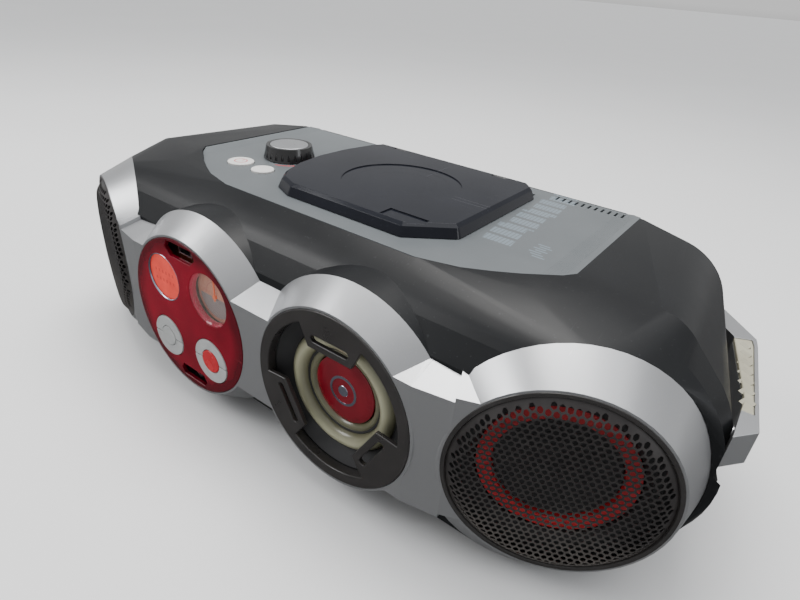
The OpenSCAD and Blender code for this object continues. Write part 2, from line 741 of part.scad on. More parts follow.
module battery_tray() color([0.13, 0.13, 0.14]) in_frame()
    translate([-bay_x - 2, body_d - 7.6 - bay_d, bay_z - 2]) difference() {
        cube([2 * bay_x + 4, bay_d, bay_h + 4]);
        translate([2, 2, 2]) cube([2 * bay_x, bay_d, bay_h]);
    }

module battery_door() color([0.12, 0.12, 0.13]) in_frame() {
    translate([-bay_x, body_d - door_t, bay_z + 0.5]) cube([2 * bay_x, door_t - 0.1, bay_h]);
    for (x = [-60, 60]) translate([x - 8, body_d - door_t - 0.5, door_axis_z]) rotate([0, 90, 0])
        cylinder(h = 16, r = 2);
}

// ---- Handle ----

module handle_plan() polygon([
    [arm_in, 85], [arm_out, 98], [arm_out - 12.2, corner_y - 7], [arm_out - 14.2, corner_y + 3],
    [arm_out - 14.2 - (back_y - corner_y - 3) * 0.82, back_y],
    [-arm_out + 14.2 + (back_y - corner_y - 3) * 0.82, back_y],
    [-arm_out + 14.2, corner_y + 3], [-arm_out + 12.2, corner_y - 7], [-arm_out, 98], [-arm_in, 85],
    [-arm_in, 125], [-arm_out + 25.7, corner_y - 7],
    [-arm_out + 27, corner_y - 3], [-arm_out + 27 + (bar_y - corner_y + 3) * 0.82, bar_y],
    [arm_out - 27 - (bar_y - corner_y + 3) * 0.82, bar_y], [arm_out - 27, corner_y - 3],
    [arm_out - 25.7, corner_y - 7], [arm_in, 125]
]);

module grip_plan(side, g) on_side(side) polygon([
    [arm_in - 6, 112 + g], [arm_out - 4 - g, 112 + g], [arm_out - 14.4 - g, corner_y - 7],
    [arm_out - 16.4 - g, corner_y - g], [arm_out - 29, corner_y - 6 - g],
    [arm_out - 29, corner_y - 7], [arm_in - 6, 130]
]);

module carry_handle() color([0.72, 0.73, 0.75]) in_frame() difference() {
    translate([0, 0, handle_z[0]]) linear_extrude(handle_t) handle_plan();
    for (side = [-1, 1]) translate([0, 0, handle_z[1] - 4]) linear_extrude(10) grip_plan(side, 0);
    translate([-400, pivot_y, pivot_z]) rotate([0, 90, 0]) cylinder(h = 800, r = pivot_r + run_gap);
}

module handle_grips() color([0.85, 0.82, 0.7]) in_frame() for (side = [-1, 1])
    translate([0, 0, handle_z[1] - 3.9]) linear_extrude(3.4) intersection() {
        grip_plan(side, 0.15);
        handle_plan();
    }

module handle_pivots() color([0.6, 0.6, 0.62]) in_frame() for (side = [-1, 1]) on_side(side)
    translate([arm_in - arm_gap - shell_wall - 1.6, pivot_y, pivot_z]) rotate([0, 90, 0]) {
        cylinder(h = arm_out - arm_in + shell_wall + 1.4, r = pivot_r);
        translate([0, 0, -2.5]) cylinder(h = 2.5, r = pivot_r + 1.2);
    }

// ---- Antenna ----

module antenna_mount() color([0.15, 0.15, 0.16]) in_frame() {
    translate([antenna_x - 7, ledge_y + 0.1, ledge_z + 0.1]) cube([14, 1.2, 15]);
    inward([antenna_x, ledge_y + 1.2, antenna_z]) cylinder(h = 6, r = 1.5);
}

module antenna_tube() color([0.8, 0.8, 0.82]) in_frame() translate([antenna_x, antenna_y, antenna_z]) {
    rotate([90, 0, 0]) translate([0, 0, -3]) difference() {
        cylinder(h = 5.8, r = 5);
        translate([0, 0, -1]) cylinder(h = 8, r = 1.5 + run_gap);
    }
    difference() {
        translate([4, 0, 0]) rotate([0, 90, 0]) cylinder(h = antenna_l - 14, r = antenna_r);
        translate([30, 0, 0]) rotate([0, 90, 0]) cylinder(h = antenna_l, r = antenna_r - 0.8);
    }
}

module antenna_rod() color([0.85, 0.85, 0.87]) in_frame() translate([antenna_x, antenna_y, antenna_z])
    rotate([0, 90, 0]) {
        translate([0, 0, 40]) cylinder(h = antenna_l - 48, r = antenna_r - 0.8 - run_gap);
        translate([0, 0, antenna_l - 9.5]) cylinder(h = 9.5, r = antenna_r);
    }

front_frame();
top_cover();
base_cover();
rear_cover();
top_panel();
feet();
case_screws();
disc_lid();
lid_hinge_pin();
disc_clamp();
disc_well();
spindle_hub();
spindle_motor();
laser_sled();
sled_rails();
volume_knob();
volume_cap();
control_board();
power_button();
mode_button();
display_panel();
display_board();
lcd_glass();
dial_plate();
dial_needle();
dial_lens();
search_up_button();
search_down_button();
search_core_button();
track_up_button();
track_down_button();
play_button();
tuning_wheel();
woofer_guard();
woofer_driver();
woofer_surround();
woofer_cone();
woofer_badge();
left_grille();
right_grille();
left_trim_ring();
right_trim_ring();
left_cone();
right_cone();
left_driver();
right_driver();
main_board();
transformer();
mains_inlet();
usb_socket();
line_in_jack();
battery_tray();
battery_door();
carry_handle();
handle_grips();
handle_pivots();
antenna_mount();
antenna_tube();
antenna_rod();
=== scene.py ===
import json
import math

import bmesh
import bpy
from mathutils import Matrix, Vector


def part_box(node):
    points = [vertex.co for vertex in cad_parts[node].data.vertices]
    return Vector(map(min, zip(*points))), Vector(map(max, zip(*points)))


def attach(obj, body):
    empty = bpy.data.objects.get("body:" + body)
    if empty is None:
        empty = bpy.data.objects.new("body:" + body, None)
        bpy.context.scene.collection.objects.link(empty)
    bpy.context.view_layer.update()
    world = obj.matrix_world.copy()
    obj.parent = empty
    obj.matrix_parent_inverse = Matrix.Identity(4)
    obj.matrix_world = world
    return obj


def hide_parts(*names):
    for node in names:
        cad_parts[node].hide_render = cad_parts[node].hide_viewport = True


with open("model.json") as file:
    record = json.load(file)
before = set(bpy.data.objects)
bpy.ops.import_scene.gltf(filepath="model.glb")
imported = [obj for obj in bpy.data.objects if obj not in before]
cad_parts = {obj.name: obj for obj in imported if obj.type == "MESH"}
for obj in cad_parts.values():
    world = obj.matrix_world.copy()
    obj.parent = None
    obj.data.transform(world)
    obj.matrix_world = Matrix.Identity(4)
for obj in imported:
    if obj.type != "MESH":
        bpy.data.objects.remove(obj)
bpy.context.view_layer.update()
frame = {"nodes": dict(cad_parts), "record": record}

# ---- Camera, floor and lights ----
# Seen from above the right-hand pods, with a wide lens close to the stereo.
camera = bpy.data.objects.new("camera", bpy.data.cameras.new("camera"))
bpy.context.scene.collection.objects.link(camera)
camera.matrix_world = Matrix((
    (0.7991, -0.3500, 0.4888, 0.2411),
    (0.5964, 0.3596, -0.7176, -0.3232),
    (0.0753, 0.8650, 0.4961, 0.29625),
    (0, 0, 0, 1),
))
camera.data.sensor_width = 36
camera.data.lens = 25.27
camera.data.clip_start = 0.02
bpy.context.scene.camera = camera

world = bpy.data.worlds.new("studio")
bpy.context.scene.world = world
world.use_nodes = True
# The room is bright overhead and round the walls, and dim below the floor.
sky = world.node_tree.nodes
direction = sky.new("ShaderNodeTexCoord")
split = sky.new("ShaderNodeSeparateXYZ")
fade = sky.new("ShaderNodeValToRGB")
for at, level in ((0.47, 0.3), (0.5, 0.95), (0.56, 0.95), (0.64, 0.55)):
    fade.color_ramp.elements.new(at).color = (level, level, level, 1)
fade.color_ramp.elements[0].color = (0.1, 0.1, 0.1, 1)
fade.color_ramp.elements[-1].color = (0.97, 0.98, 1, 1)
raised = sky.new("ShaderNodeMath")
raised.operation = "MULTIPLY_ADD"
raised.inputs[1].default_value = 0.5
raised.inputs[2].default_value = 0.5
for source, target in (
    (direction.outputs["Generated"], split.inputs[0]),
    (split.outputs[2], raised.inputs[0]),
    (raised.outputs[0], fade.inputs[0]),
    (fade.outputs[0], sky["Background"].inputs["Color"]),
):
    world.node_tree.links.new(source, target)
sky["Background"].inputs["Strength"].default_value = 0.75


def soft_light(name, place, target, size, power, tint=(1, 1, 1)):
    light = bpy.data.lights.new(name, "AREA")
    light.shape = "RECTANGLE"
    light.size, light.size_y = size
    light.energy = power
    light.color = tint
    holder = bpy.data.objects.new(name, light)
    bpy.context.scene.collection.objects.link(holder)
    holder.location = place
    holder.rotation_euler = (Vector(target) - Vector(place)).to_track_quat("-Z", "Y").to_euler()


bm = bmesh.new()
bmesh.ops.create_grid(bm, x_segments=2, y_segments=2, size=30)
floor_mesh = bpy.data.meshes.new("floor")
bm.to_mesh(floor_mesh)
bm.free()
floor = bpy.data.objects.new("floor", floor_mesh)
bpy.context.scene.collection.objects.link(floor)
# Kept out of reflections, so that the pods' lower faces stay dark.
floor.visible_glossy = False

soft_light("overhead", (-0.2, 0.25, 1.5), (0, 0, 0.1), (1.1, 0.8), 22, (1, 0.985, 0.96))
soft_light("left_fill", (-1.1, -0.9, 1.25), (-0.05, 0, 0.08), (0.8, 0.7), 15)
soft_light("side_strip", (1.6, 0.1, 0.8), (0.1, 0, 0.1), (0.4, 0.9), 4, (0.95, 0.97, 1))
ceiling = bpy.data.objects.new("ceiling", bpy.data.lights.new("ceiling", "SUN"))
ceiling.data.energy = 1.3
ceiling.data.angle = math.radians(60)
ceiling.rotation_euler = (math.radians(-12), math.radians(8), 0)
bpy.context.scene.collection.objects.link(ceiling)


# ---- Finishes ----
# Every finish is worked out in the piece's own place, so it stays put as the piece moves.
class Value:
    """A number or colour in a finish, which sums like a number."""

    def __init__(self, finish, socket):
        self.finish = finish
        self.socket = socket

    def math(self, operation, *others):
        values = dict(enumerate((self,) + others))
        return self.finish.node("ShaderNodeMath", {"operation": operation}, values)

    def __add__(self, other):
        return self.math("ADD", other)

    def __radd__(self, other):
        return self.math("ADD", other)

    def __sub__(self, other):
        return self.math("SUBTRACT", other)

    def __rsub__(self, other):
        return self.finish.node("ShaderNodeMath", {"operation": "SUBTRACT"}, {0: other, 1: self})

    def __mul__(self, other):
        return self.math("MULTIPLY", other)

    def __rmul__(self, other):
        return self.math("MULTIPLY", other)

    def __truediv__(self, other):
        return self.math("DIVIDE", other)

    def __gt__(self, other):
        return self.math("GREATER_THAN", other)

    def __lt__(self, other):
        return self.math("LESS_THAN", other)

    def within(self, painted_lower_light, high):
        return (self > painted_lower_light) * (self < high)


class Finish:
    """A material with one Principled shader."""

    def __init__(self, name, **constants):
        self.material = bpy.data.materials.new(name)
        self.material.use_nodes = True
        self.nodes = self.material.node_tree.nodes
        self.shader = self.nodes["Principled BSDF"]
        for key, value in constants.items():
            self.shader.inputs[key.replace("_", " ")].default_value = value
        self.place = self.node("ShaderNodeTexCoord", out="Object")

    def node(self, kind, settings=None, sockets=None, out=0):
        made = self.nodes.new(kind)
        for key, value in (settings or {}).items():
            if key == "stops":
                ramp = made.color_ramp.elements
                for at, colour in value[2:]:
                    ramp.new(at)
                for stop, (at, colour) in zip(ramp, value):
                    stop.position = at
                    stop.color = colour if len(colour) == 4 else (*colour, 1)
            else:
                setattr(made, key, value)
        for key, value in (sockets or {}).items():
            self.feed(made.inputs[key], value)
        return Value(self, made.outputs[out])

    def feed(self, socket, value):
        if isinstance(value, Value):
            self.material.node_tree.links.new(value.socket, socket)
        elif isinstance(value, tuple) and len(value) == 3 and socket.type == "RGBA":
            socket.default_value = (*value, 1)
        else:
            socket.default_value = value

    def set(self, **sockets):
        for key, value in sockets.items():
            self.feed(self.shader.inputs[key.replace("_", " ")], value)
        return self

    def mix(self, share, first, second):
        return self.node(
            "ShaderNodeMix", {"data_type": "RGBA"}, {0: share, 6: first, 7: second}, out=2
        )

    def axes(self, place=None):
        split = self.node("ShaderNodeSeparateXYZ", None, {0: place or self.place})
        outputs = split.socket.node.outputs
        return [Value(self, outputs[k]) for k in range(3)]

    def stretched(self, scale, turn=(0, 0, 0), shift=(0, 0, 0)):
        return self.node(
            "ShaderNodeMapping", None,
            {"Vector": self.place, "Scale": scale, "Rotation": turn, "Location": shift},
        )

    def noise(self, scale, detail=3.0, place=None, roughness=0.5):
        return self.node("ShaderNodeTexNoise", None, {
            "Vector": place or self.place, "Scale": scale, "Detail": detail, "Roughness": roughness,
        })

    def ramp(self, value, *stops):
        return self.node("ShaderNodeValToRGB", {"stops": stops}, {0: value})

    def bump(self, height, depth, strength=1.0):
        self.set(Normal=self.node("ShaderNodeBump", None, {
            "Height": height, "Distance": depth, "Strength": strength,
        }))
        return self

    def scratches(self, amount=0.5):
        """Fine hairlines in two directions, as a mask."""
        lines = 0.0
        for turn, scale in ((0.5, (900, 12, 300)), (-0.9, (14, 1100, 400))):
            grain = self.noise(1.0, 2.0, self.stretched(scale, (0.3 * turn, 0.2, turn)))
            patch = self.noise(24.0 + 9 * turn, 2.0)
            line = self.ramp(grain, (0.70, (0, 0, 0)), (0.76, (1, 1, 1)))
            where = self.ramp(patch, (0.52, (0, 0, 0)), (0.66, (1, 1, 1)))
            lines = line * where + lines
        return lines * amount


floor_finish = Finish("floor")
cloud = floor_finish.noise(3.0, 4.0)
floor_finish.set(
    Base_Color=floor_finish.mix(cloud, (0.78, 0.785, 0.79), (0.82, 0.825, 0.83)),
    Roughness=cloud * 0.1 + 0.6,
)
floor.data.materials.append(floor_finish.material)


# ---- Silver front ----
# One moulding of satin silver paint over plastic, flared round all four pods.
# It clips to the black shells from inside, so no fixing shows on it.
def joined_copy(node, loosen=0.3):
    """A copy of a CAD node with its triangles merged into whole flats."""
    bm = bmesh.new()
    bm.from_mesh(frame["nodes"][node].data)
    bmesh.ops.remove_doubles(bm, verts=bm.verts, dist=3e-6)
    bmesh.ops.dissolve_degenerate(bm, edges=bm.edges, dist=1e-6)
    bmesh.ops.dissolve_limit(
        bm, angle_limit=math.radians(loosen), verts=bm.verts, edges=bm.edges
    )
    return bm


def to_piece(bm, name, sharp=30):
    """Turns a bmesh into an object, smooth except across edges sharper than `sharp` degrees."""
    for edge in bm.edges:
        edge.smooth = len(edge.link_faces) == 2 and edge.calc_face_angle(0) < math.radians(sharp)
    for face in bm.faces:
        face.smooth = True
    mesh = bpy.data.meshes.new(name)
    bm.to_mesh(mesh)
    bm.free()
    piece = bpy.data.objects.new(name, mesh)
    bpy.context.scene.collection.objects.link(piece)
    return piece


def soften(piece, width, sharp=30, segments=2):
    """Rounds the piece's edges off."""
    edge = piece.modifiers.new("edge", "BEVEL")
    edge.width = width
    edge.segments = segments
    edge.limit_method = "ANGLE"
    edge.angle_limit = math.radians(sharp)
    edge.harden_normals = True
    shade = piece.modifiers.new("shade", "WEIGHTED_NORMAL")
    shade.keep_sharp = True
    return piece


def fit(piece, finish, body, stands_for=None):
    """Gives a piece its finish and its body."""
    piece.data.materials.clear()
    piece.data.materials.append(finish.material)
    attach(piece, body)
    if stands_for:
        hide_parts(stands_for)
    return piece


body_of = {
    node: body
    for body, nodes in frame["record"]["behaviour"]["bodies"].items()
    for node in nodes
}


def dress(node, finish, width=0.0004, sharp=30, segments=2, loosen=0.3):
    """A rounded copy that stands for its CAD node."""
    piece = to_piece(joined_copy(node, loosen), node + "_piece", sharp)
    soften(piece, width, sharp, segments)
    return fit(piece, finish, body_of[node], node)


def paint(finish, *nodes):
    """CAD nodes that keep their shape and get a finish."""
    for node in nodes:
        mesh = frame["nodes"][node].data
        mesh.materials.clear()
        mesh.materials.append(finish.material)


silver = Finish("silver_paint", Metallic=0.82)
flake = silver.noise(5200.0, 1.0)
cloud = silver.noise(14.0, 4.0)
hair = silver.scratches(0.8)
silver.set(
    Base_Color=silver.mix(
        hair * 0.4 + flake * 0.30 + cloud * 0.2, (0.40, 0.408, 0.42), (0.62, 0.625, 0.64)
    ),
    Roughness=cloud * 0.08 + flake * 0.16 + hair * 0.1 + 0.22,
)
silver.bump(flake - hair * 0.5, 0.000014)
dress("front_frame", silver, 0.0007, 24, 3)

# ---- Black shells ----
# Charcoal moulded plastic with a fine spark texture, in three parts: top, base and back.
# Fine hairline scuffs are scattered over them.
charcoal = Finish("charcoal_shell", Specular_IOR_Level=0.24)
grain = charcoal.noise(3000.0, 2.0)
cloud = charcoal.noise(16.0, 5.0)
speck = charcoal.ramp(charcoal.noise(520.0, 1.0), (0.715, (0, 0, 0)), (0.75, (1, 1, 1)))
hair = charcoal.scratches(0.8)
charcoal.set(
    Base_Color=charcoal.mix(
        hair * 0.2 + speck * 0.14 + cloud * 0.10, (0.003, 0.0035, 0.0045), (0.09, 0.095, 0.10)
    ),
    Roughness=cloud * 0.20 + grain * 0.10 + hair * 0.12 + 0.20,
)
charcoal.bump(grain - hair * 0.6, 0.000028)
dress("top_cover", charcoal, 0.0006, 26, 2)
dress("base_cover", charcoal, 0.0006, 26, 2)
dress("rear_cover", charcoal, 0.0006, 26, 2)
dress("battery_door", charcoal, 0.0005)

# ---- Top panel ----
# A smooth blue-grey tray let into the top shell, with a curled edge at each side.
# It carries the red arc round the volume knob, a block of pale bars and some smaller ones.
well_low, well_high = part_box("volume_cap")
knob_centre = (well_low + well_high) / 2
panel_grey = Finish("panel_grey")
grain = panel_grey.noise(2600.0, 2.0)
cloud = panel_grey.noise(20.0, 4.0)
hair = panel_grey.scratches(0.7)
speck = panel_grey.ramp(panel_grey.noise(360.0, 2.0), (0.66, (0, 0, 0)), (0.74, (1, 1, 1)))
x, y, _ = panel_grey.axes()
dx = x - knob_centre.x
dy = y - knob_centre.y
reach = (dx * dx + dy * dy).math("SQRT")
bearing = dy.math("ARCTAN2", dx)
swept = bearing.within(-1.25, 0.95)
ring = reach.within(0.0238, 0.0250)
ticks = reach.within(0.0228, 0.0260) * ((bearing * 6.3).math("FRACT") < 0.14)
red_print = (ring + ticks).math("MINIMUM", 1.0) * swept
bar_y = (y + 0.028) / 0.0128
bar = (
    bar_y.math("FRACT").within(0.14, 0.86)
    * bar_y.within(0, 10)
    * (x + (bar_y * 0.37).math("FRACT") * 0.004).within(0.0965, 0.1165)
    * ((x * 1000.0 / 2.6).math("FRACT") > 0.2)
)
line_y = (y + 0.030) / 0.0031
small_print = (
    line_y.math("FRACT").within(0.3, 0.75)
    * line_y.within(0, 7)
    * (x + (line_y.math("FLOOR") * 0.47).math("FRACT") * 0.005).within(0.1315, 0.1395)
)
groove = ((x * 1000.0 / 1.3).math("FRACT") < 0.42) * x.within(0.1465, 0.1575)
base = panel_grey.mix(
    cloud * 0.5 + hair * 0.3 + speck * 0.12, (0.088, 0.099, 0.106), (0.172, 0.186, 0.196)
)
base = panel_grey.mix((bar + small_print) * 0.5, base, (0.22, 0.28, 0.33))
base = panel_grey.mix(red_print * 0.85, base, (0.55, 0.03, 0.035))
panel_grey.set(Base_Color=base, Roughness=cloud * 0.14 + hair * 0.1 + 0.30)
panel_grey.bump(grain * 0.06 - groove - hair * 0.05, 0.00025)
dress("top_panel", panel_grey, 0.00045, 24)

# ---- Disc lid ----
# Smoked navy acrylic with wide bevels and a dished centre, polished and lightly scratched.
# Two fine turned rings are cut into it.
hub_low, hub_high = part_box("spindle_hub")
disc_centre = (hub_low + hub_high) / 2
smoked = Finish("smoked_acrylic", Specular_IOR_Level=0.28)
x, y, _ = smoked.axes()
dx = x - (disc_centre.x + 0.004)
dy = y - (disc_centre.y - 0.006)
reach = (dx * dx + dy * dy).math("SQRT")
turned = reach.within(0.0245, 0.0251) + reach.within(0.0345, 0.035)
cloud = smoked.noise(22.0, 4.0)
hair = smoked.scratches(0.9)
speck = smoked.ramp(smoked.noise(600.0, 1.0), (0.70, (0, 0, 0)), (0.75, (1, 1, 1)))
smoked.set(
    Base_Color=smoked.mix(
        hair * 0.25 + speck * 0.12 + cloud * 0.1, (0.004, 0.005, 0.009), (0.09, 0.095, 0.12)
    ),
    Roughness=cloud * 0.12 + hair * 0.2 + 0.09,
)
smoked.bump(-1 * turned - hair * 0.15, 0.0003)
dress("disc_lid", smoked, 0.0005, 20, 3)

# ---- Volume knob and top buttons ----
# A notched black knob with a spun metal cap, and two white keys let into the panel.
# The power key has a red ring printed on it.
jet = Finish("jet_gloss", Coat_Weight=0.3)
cloud = jet.noise(60.0, 3.0)
hair = jet.scratches(0.5)
jet.set(
    Base_Color=jet.mix(hair * 0.3 + cloud * 0.06, (0.008, 0.008, 0.009), (0.2, 0.2, 0.2)),
    Roughness=cloud * 0.14 + hair * 0.2 + 0.16,
)
dress("volume_knob", jet, 0.0004, 30)

spun = Finish("spun_metal", Metallic=1.0)
x, y, _ = spun.axes()
dx = x - knob_centre.x
dy = y - knob_centre.y
reach = (dx * dx + dy * dy).math("SQRT")
turning = spun.node("ShaderNodeTexNoise", {"noise_dimensions": "1D"}, {"W": reach, "Scale": 2600.0})
cloud = spun.noise(90.0, 3.0)
spun.set(
    Base_Color=spun.mix(turning, (0.50, 0.51, 0.53), (0.72, 0.73, 0.75)),
    Roughness=turning * 0.12 + cloud * 0.1 + 0.20,
)
spun.bump(turning, 0.00002)
dress("volume_cap", spun, 0.0002, 30)

power_low, power_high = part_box("power_button")
power_centre = (power_low + power_high) / 2
key_white = Finish("key_white")
x, y, _ = key_white.axes()
dx = x - power_centre.x
dy = y - power_centre.y
reach = (dx * dx + dy * dy).math("SQRT")
mark = reach.within(0.0044, 0.0052) * (1 - (dx.within(-0.0012, 0.0012) * (dy > 0)))
mark = mark + dx.within(-0.0004, 0.0004) * dy.within(0.0012, 0.0058)
cloud = key_white.noise(150.0, 3.0)
key_white.set(
    Base_Color=key_white.mix(
        mark, key_white.mix(cloud, (0.62, 0.61, 0.59), (0.74, 0.735, 0.72)), (0.55, 0.03, 0.04)
    ),
    Roughness=cloud * 0.1 + 0.32,
)
dress("power_button", key_white, 0.0007, 30, 3)
dress("mode_button", key_white, 0.0007, 30, 3)

# ---- Display pod ----
# One red lens over the whole pod, with a back-lit screen, a tuning dial and two key clusters.
# Screen and dial each have their own turned bezel; the recess at the top holds the socket.
lens_low, lens_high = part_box("display_panel")
pod = (lens_low + lens_high) / 2
screen_low, screen_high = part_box("lcd_glass")
screen = (screen_low + screen_high) / 2
dial_low, dial_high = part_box("dial_plate")
dial = (dial_low + dial_high) / 2
front = lens_low.y

ruby = Finish("ruby_lens", Specular_IOR_Level=0.35)
x, _, z = ruby.axes()
dx = x - pod.x
dz = z - pod.z
reach = (dx * dx + dz * dz).math("SQRT")
edge = ruby.ramp(reach * 17.0, (0.80, (0, 0, 0)), (0.99, (1, 1, 1)))
depth = ruby.noise(28.0, 3.0)
hair = ruby.scratches(0.4)
ruby.set(
    Base_Color=ruby.mix(
        hair * 0.4,
        ruby.mix(depth * 0.8 - edge * 0.5, (0.075, 0.001, 0.006), (0.34, 0.004, 0.022)),
        (0.5, 0.2, 0.2),
    ),
    Roughness=depth * 0.08 + hair * 0.2 + 0.10,
)
dress("display_panel", ruby, 0.0005, 30, 3)


def turned_ring(name, centre, profile, steps=72):
    """A ring turned about a pod's axis. profile lists (radius, depth behind the centre)."""
    bm = bmesh.new()
    corners = [bm.verts.new((centre[0] + r, centre[1] + d, centre[2])) for r, d in profile]
    edges = [bm.edges.new(pair) for pair in zip(corners, corners[1:] + corners[:1])]
    bmesh.ops.spin(
        bm, geom=corners + edges, cent=centre, axis=(0, 1, 0), angle=math.tau,
        steps=steps, use_merge=True,
    )
    bmesh.ops.remove_doubles(bm, verts=bm.verts, dist=1e-6)
    bmesh.ops.recalc_face_normals(bm, faces=bm.faces)
    return bm


bezel = Finish("bezel_chrome", Metallic=1.0)
cloud = bezel.noise(300.0, 2.0)
bezel.set(
    Base_Color=bezel.mix(cloud, (0.42, 0.43, 0.56), (0.62, 0.63, 0.74)), Roughness=cloud * 0.12 + 0.16
)
ring = turned_ring("screen_bezel", (screen.x, front, screen.z), [
    (0.0169, 0.0009), (0.0171, 0.0002), (0.0176, 0.0000), (0.0181, 0.0004), (0.0181, 0.0012),
])
fit(to_piece(ring, "screen_bezel", 60), bezel, "housing")

ring = turned_ring("dial_bezel", (dial.x, front, dial.z), [
    (0.0176, 0.0046), (0.0178, 0.0030), (0.0184, 0.0016), (0.0194, 0.0003), (0.0204, 0.0000),
    (0.0210, 0.0006), (0.0204, 0.0020), (0.0194, 0.0032), (0.0188, 0.0046),
])
scarlet = Finish("scarlet_gloss", Coat_Weight=0.2, Coat_Roughness=0.03)
cloud = scarlet.noise(90.0, 2.0)
scarlet.set(
    Base_Color=scarlet.mix(cloud, (0.30, 0.004, 0.03), (0.52, 0.012, 0.06)),
    Roughness=cloud * 0.08 + 0.08,
)
fit(to_piece(ring, "dial_bezel", 70), scarlet, "housing")

glow = Finish("screen_glow", Specular_IOR_Level=0.3, Emission_Strength=0.30)
x, _, z = glow.axes()
dx = x - screen.x
dz = z - screen.z
cloud = glow.noise(90.0, 3.0)
segment = (
    (dx * 260.0).math("FRACT").within(0.2, 0.62)
    * (dz * 120.0).math("FRACT").within(0.25, 0.75)
    * dx.within(-0.0115, 0.0115)
    * dz.within(-0.0045, 0.0045)
)
shade = glow.mix(cloud * 0.8 - segment * 0.35, (0.46, 0.030, 0.022), (0.88, 0.085, 0.055))
glow.set(Base_Color=shade, Emission_Color=shade, Roughness=cloud * 0.1 + 0.25)
dress("lcd_glass", glow, 0.0004, 30)

card = Finish("dial_card")
x, _, z = card.axes()
dx = x - dial.x
dz = z - dial.z
reach = (dx * dx + dz * dz).math("SQRT")
bearing = dz.math("ARCTAN2", dx)
cloud = card.noise(120.0, 3.0)
lower = (dz < -0.0012) * (reach < 0.0165)
stripe = ((dx * 0.6 + dz) * 420.0).math("FRACT") < 0.16
tick = ((bearing * 7.0).math("FRACT") < 0.16) * reach.within(0.0105, 0.0128) * (dz > 0)
arc = reach.within(0.0098, 0.0103) * (dz > 0)
tone = card.mix(cloud, (0.46, 0.17, 0.10), (0.66, 0.33, 0.22))
tone = card.mix((tick + arc) * 0.8, tone, (0.30, 0.06, 0.04))
tone = card.mix(lower, tone, card.mix(stripe, (0.20, 0.19, 0.19), (0.34, 0.32, 0.31)))
card.set(Base_Color=tone, Roughness=cloud * 0.1 + 0.4)
paint(card, "dial_plate")

# The needle's emission is a painted glow; the needle itself is no lamp.
amber = Finish("amber_needle", Emission_Strength=0.15)
cloud = amber.noise(200.0, 2.0)
tone = amber.mix(cloud, (0.75, 0.10, 0.01), (0.9, 0.18, 0.02))
amber.set(Base_Color=tone, Emission_Color=tone, Roughness=cloud * 0.1 + 0.3)
paint(amber, "dial_needle")

window = Finish("dial_window", Specular_IOR_Level=0.5)
cloud = window.noise(80.0, 2.0)
window.set(
    Base_Color=window.mix(cloud, (0.34, 0.26, 0.24), (0.42, 0.33, 0.30)),
    Roughness=cloud * 0.05 + 0.03,
    Alpha=cloud * 0.04 + 0.10,
)
paint(window, "dial_lens")

key_grey = Finish("key_grey", Coat_Weight=0.25)
cloud = key_grey.noise(130.0, 3.0)
grain = key_grey.noise(2800.0, 1.0)
hair = key_grey.scratches(0.5)
key_grey.set(
    Base_Color=key_grey.mix(cloud * 0.7 + hair * 0.3, (0.29, 0.30, 0.30), (0.46, 0.465, 0.46)),
    Roughness=cloud * 0.1 + grain * 0.08 + 0.28,
)
key_grey.bump(grain, 0.00001)
for node in ("search_up_button", "search_down_button", "search_core_button",
             "track_up_button", "track_down_button"):
    dress(node, key_grey, 0.0007, 30, 3)

# The play key's faint emission is a painted glow; the key itself is no lamp.
key_red = Finish("key_red", Coat_Weight=0.25, Emission_Strength=0.03)
cloud = key_red.noise(120.0, 3.0)
tone = key_red.mix(cloud, (0.34, 0.006, 0.012), (0.56, 0.022, 0.028))
key_red.set(Base_Color=tone, Emission_Color=tone, Roughness=cloud * 0.1 + 0.22)
dress("play_button", key_red, 0.0008, 30, 3)

# ---- Woofer ----
# A smoked guard ring with three slotted tabs over an olive rubber surround.
# The centre badge is dark red with a plain raised ring and dot.
woofer_low, woofer_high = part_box("woofer_guard")
woofer = (woofer_low + woofer_high) / 2
smoke = Finish("smoked_guard", Coat_Weight=0.2, Coat_Roughness=0.08)
cloud = smoke.noise(45.0, 4.0)
hair = smoke.scratches(0.8)
speck = smoke.ramp(smoke.noise(500.0, 2.0), (0.66, (0, 0, 0)), (0.74, (1, 1, 1)))
smoke.set(
    Base_Color=smoke.mix(
        cloud * 0.25 + hair * 0.3 + speck * 0.14, (0.012, 0.011, 0.011), (0.12, 0.11, 0.105)
    ),
    Roughness=cloud * 0.2 + hair * 0.2 + 0.20,
)
dress("woofer_guard", smoke, 0.0008, 30, 3)

olive = Finish("olive_rubber", Coat_Weight=0.3, Coat_Roughness=0.15)
x, _, z = olive.axes()
dx = x - woofer.x
dz = z - woofer.z
reach = (dx * dx + dz * dz).math("SQRT")
cloud = olive.noise(70.0, 3.0)
band = olive.ramp(reach * 24.0, (0.70, (0, 0, 0)), (0.82, (1, 1, 1)), (0.97, (0.1, 0.1, 0.1)))
olive.set(
    Base_Color=olive.mix(band * 0.75 + cloud * 0.25, (0.085, 0.082, 0.045), (0.33, 0.325, 0.22)),
    Roughness=cloud * 0.15 + 0.24,
)
paint(olive, "woofer_surround")

ring = turned_ring("surround_inner_roll", (woofer.x, woofer_low.y + 0.0006, woofer.z), [
    (0.0235, 0.0160), (0.0245, 0.0137), (0.0262, 0.0128), (0.0280, 0.0134), (0.0290, 0.0152),
    (0.0280, 0.0160),
])
fit(to_piece(ring, "surround_inner_roll", 60), olive, "housing")

pulp = Finish("pressed_paper")
fibre = pulp.noise(900.0, 4.0)
cloud = pulp.noise(40.0, 3.0)
pulp.set(Base_Color=pulp.mix(fibre * 0.6, (0.010, 0.010, 0.011), (0.05, 0.05, 0.052)),
         Roughness=cloud * 0.1 + 0.62)
pulp.bump(fibre, 0.00008)
paint(pulp, "woofer_cone", "left_cone", "right_cone")

